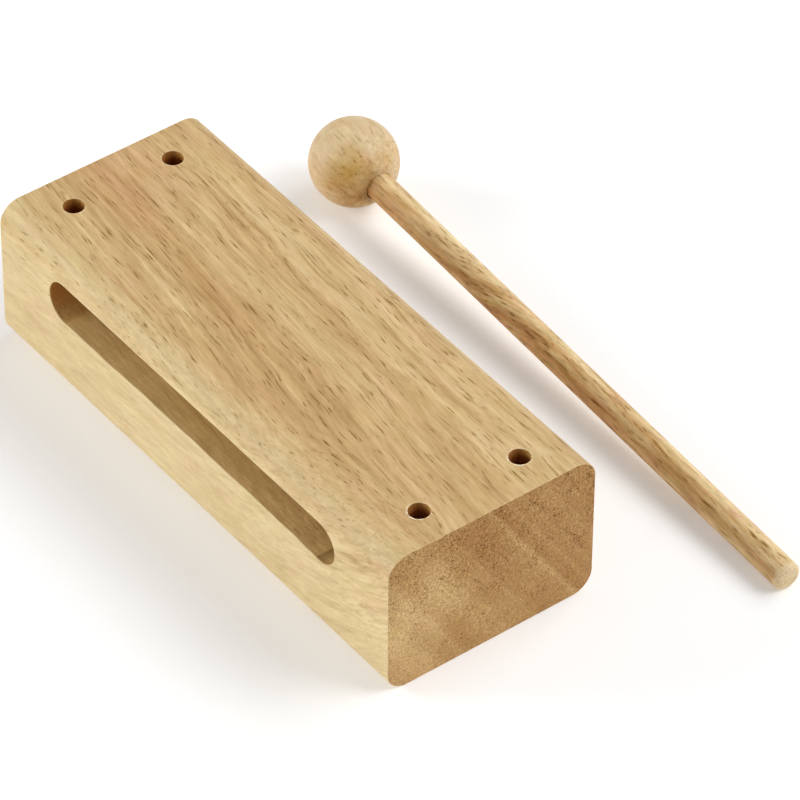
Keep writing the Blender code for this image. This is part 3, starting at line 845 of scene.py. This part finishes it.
def stick_wood():
    g = Graph("stick_wood")
    place, x, y, z, facing = beater_axes(g)
    endness = g.smooth(facing, 0.5, 0.9)
    tip = BEATER_LENGTH * 1000.0 - BALL_RADIUS * 1000.0

    # The fibre runs true for the first third, then slants across the stick, then runs nearly true again.
    slant = g.add(g.mul(g.smooth(x, 44.0, 100.0), 8.5), g.mul(g.math("MAXIMUM", g.sub(x, 96.0), 0.0), -0.035))
    drift = g.swing(g.grain_noise(g.join(x, y, z), 26.0, 9.0, 83.0, 2.0, 0.5), 3.6)
    fy = g.add(g.sub(y, slant), drift)
    fz = g.add(z, g.mul(drift, 0.5))
    grain = g.join(x, fy, fz)
    base = g.ramp(
        g.linear(x, 0.0, 200.0),
        ((0.00, 0.50), (0.09, 0.44), (0.18, 0.38), (0.30, 0.50), (0.42, 0.58), (0.56, 0.55), (0.70, 0.52), (0.84, 0.44), (0.93, 0.34)),
    )
    wide = g.swing(g.grain_noise(grain, 26.0, 2.8, 87.0, 2.0, 0.6), 1.35)
    layer = g.swing(g.grain_noise(grain, 60.0, 1.7, 91.0, 3.0, 0.65), 0.75)
    lively = g.smooth(x, 20.0, 70.0, 0.85, 1.0)
    # Painted light: the stick's upper side, as the camera sees it, is paler, most away from the ball, and its underside
    # darker, most near the ball.
    upper = g.smooth(y, 0.6, 3.6)
    underside_shade = g.smooth(y, 0.3, -3.4)
    tone = g.add(
        base, g.mul(g.add(wide, layer), lively), g.mul(upper, g.smooth(x, 34.0, 12.0, -0.26, -0.14)),
        g.mul(underside_shade, g.smooth(x, 80.0, 12.0, 0.08, 0.34)), -0.10,
    )
    colour = g.ramp(
        tone,
        (
            (0.00, rgb(232, 206, 158)), (0.25, rgb(220, 189, 138)), (0.50, rgb(207, 168, 112)),
            (0.75, rgb(186, 140, 83)), (1.00, rgb(152, 103, 50)),
        ),
        "LINEAR",
    )
    short = g.swing(g.grain_noise(grain, 11.0, 1.5, 95.0, 4.0, 0.85), 1.30)
    fibre = g.mul(short, lively)
    colour = g.shade(
        colour, g.add(1.0, fibre), g.math("MULTIPLY_ADD", fibre, 1.25, 1.0), g.math("MULTIPLY_ADD", fibre, 1.7, 1.0)
    )
    rosy = g.smooth(g.grain_noise(grain, 12.0, 2.6, 99.0, 2.0, 0.6), 0.50, 0.70)
    colour = g.shade(
        colour, g.math("MULTIPLY_ADD", rosy, 0.025, 1.0), g.math("MULTIPLY_ADD", rosy, -0.07, 1.0),
        g.math("MULTIPLY_ADD", rosy, 0.01, 1.0),
    )
    olive = g.smooth(g.grain_noise(grain, 14.0, 2.4, 103.0, 2.0, 0.6), 0.54, 0.72)
    colour = g.shade(colour, g.math("MULTIPLY_ADD", olive, -0.05, 1.0), 1.0, g.math("MULTIPLY_ADD", olive, -0.16, 1.0))

    crowd = g.grain_noise(grain, 12.0, 2.2, 107.0, 2.0, 0.6)
    shown = []
    for across, along, seed, radius, reach, threshold, strength in (
        (1.10, 9.0, 7.3, 0.27, 3.2, 0.68, 0.42), (0.90, 6.5, 19.1, 0.23, 2.2, 0.70, 0.38),
        (0.70, 4.5, 29.9, 0.17, 1.5, 0.72, 0.30),
    ):
        core, stain, pick = vessels(g, grain, across, along, seed, radius, reach)
        chosen = g.mul(
            g.smooth(g.math("MULTIPLY_ADD", pick, 0.55, crowd), threshold - 0.10, threshold + 0.12),
            g.smooth(x, 10.0, 60.0, 0.75, 1.0),
        )
        shown.append((g.mul(core, chosen), g.mul(stain, chosen), strength))
    # Dark streaks by the ball, on the side that shows.
    for sx, sy, half, width, strength in ((13.2, 1.9, 3.8, 0.42, 0.26), (16.0, 0.0, 4.2, 0.36, 0.22), (25.0, -1.2, 3.0, 0.30, 0.16)):
        off = g.vector("LENGTH", g.join(g.mul(g.sub(x, sx), 1.0 / half), g.mul(g.sub(y, sy), 1.0 / width), 0.0))
        ragged = g.smooth(g.noise(place, 1.2, 2.0, 0.6), 0.25, 0.55, 0.40, 1.0)
        streak = g.mul(g.smooth(off, 1.15, 0.2), ragged, g.smooth(z, 0.0, 1.5))
        shown.append((streak, streak, strength))
    for core, stain, strength in shown:
        colour = g.darken(colour, g.mul(g.math("MULTIPLY_ADD", stain, 0.22, core), strength))
    pits = g.add(shown[0][0], g.mul(shown[1][0], 0.8), g.mul(shown[2][0], 0.6))

    # The sawn tip: pale, fuzzy end grain, and the crushed fibres just behind it.
    fuzz = g.noise(place, 1.5, 4.0, 0.7)
    sawn = g.math("MAXIMUM", endness, g.smooth(x, tip - 2.2, tip - 0.9))
    colour = g.mix(g.mul(sawn, g.smooth(fuzz, 0.36, 0.62, 0.35, 0.85)), colour, rgb(226, 206, 168))
    fuzzy = g.mul(g.swing(fuzz, 0.5), sawn)
    colour = g.shade(colour, g.add(1.0, fuzzy), g.math("MULTIPLY_ADD", fuzzy, 1.15, 1.0), g.math("MULTIPLY_ADD", fuzzy, 1.3, 1.0))

    height = g.add(g.mul(fibre, 0.7), g.mul(pits, -1.0), g.mul(fuzzy, 1.4))
    g.feed(g.shader.inputs["Normal"], g.bump(height, 0.00010, 0.6))
    g.feed(g.shader.inputs["Base Color"], colour)
    g.feed(
        g.shader.inputs["Roughness"],
        g.add(g.linear(short, -0.15, 0.15, 0.40, 0.50), g.mul(pits, 0.2), g.mul(sawn, 0.18)),
    )
    g.shader.inputs["Specular IOR Level"].default_value = 0.28
    return g.material


def floor_material():
    g = Graph("studio_floor")
    g.shader.inputs["Base Color"].default_value = (0.80, 0.80, 0.80, 1.0)
    g.shader.inputs["Roughness"].default_value = 0.9
    g.shader.inputs["Specular IOR Level"].default_value = 0.15
    g.shader.inputs["Emission Color"].default_value = (1.0, 1.0, 1.0, 1.0)
    g.shader.inputs["Emission Strength"].default_value = 0.24
    return g.material


# -------------------------------------------------------------------- the pieces
block = build_block()
ball = build_ball()
stick = build_stick()
for piece, material in ((block, block_wood()), (ball, ball_wood()), (stick, stick_wood())):
    piece.data.materials.clear()
    piece.data.materials.append(material)

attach(block, "block")
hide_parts("block_body")
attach(ball, "beater")
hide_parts("beater_head")
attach(stick, "beater")
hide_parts("beater_stick")

# --------------------------------------------------------------------- the stage
bm = bmesh.new()
bmesh.ops.create_grid(bm, x_segments=1, y_segments=1, size=6.0)
floor = mesh_object("studio_floor", bm)
floor.location.z = -0.00005
floor.data.materials.append(floor_material())

world = bpy.data.worlds.new("studio")
bpy.context.scene.world = world
world.use_nodes = True
background = world.node_tree.nodes["Background"]
background.inputs["Color"].default_value = (1.0, 1.0, 1.0, 1.0)
background.inputs["Strength"].default_value = 0.30


def softbox(name, azimuth, elevation, power):
    """A round softbox 2.2 m from the origin, in degrees from +X towards +Y and above the floor."""
    a, e = math.radians(azimuth), math.radians(elevation)
    direction = Vector((math.cos(e) * math.cos(a), math.cos(e) * math.sin(a), math.sin(e)))
    data = bpy.data.lights.new(name, "AREA")
    data.shape = "DISK"
    data.size = 1.3
    data.energy = power
    lamp = bpy.data.objects.new(name, data)
    bpy.context.scene.collection.objects.link(lamp)
    lamp.location = direction * 2.2
    lamp.rotation_euler = direction.to_track_quat("Z", "Y").to_euler()
    return lamp


softbox("softbox_right", 45, 45, 25.0)
softbox("softbox_back", 90, 45, 15.0)
softbox("softbox_left", 225, 20, 26.8)
softbox("softbox_front", 270, 20, 8.0)

camera_data = bpy.data.cameras.new("camera")
camera_data.sensor_width = 36.0
camera_data.sensor_fit = "HORIZONTAL"
camera_data.lens = CAMERA_LENS
camera_data.clip_start = 0.05
camera_data.clip_end = 50.0
camera = bpy.data.objects.new("camera", camera_data)
bpy.context.scene.collection.objects.link(camera)
right = CAMERA_RIGHT.normalized()
up = (CAMERA_UP - right * CAMERA_UP.dot(right)).normalized()
back = right.cross(up)
camera.matrix_world = Matrix.Translation(CAMERA_EYE) @ Matrix((right, up, back)).transposed().to_4x4()
bpy.context.scene.camera = camera

view = bpy.context.scene.view_settings
view.view_transform = "Standard"
view.look = "None"
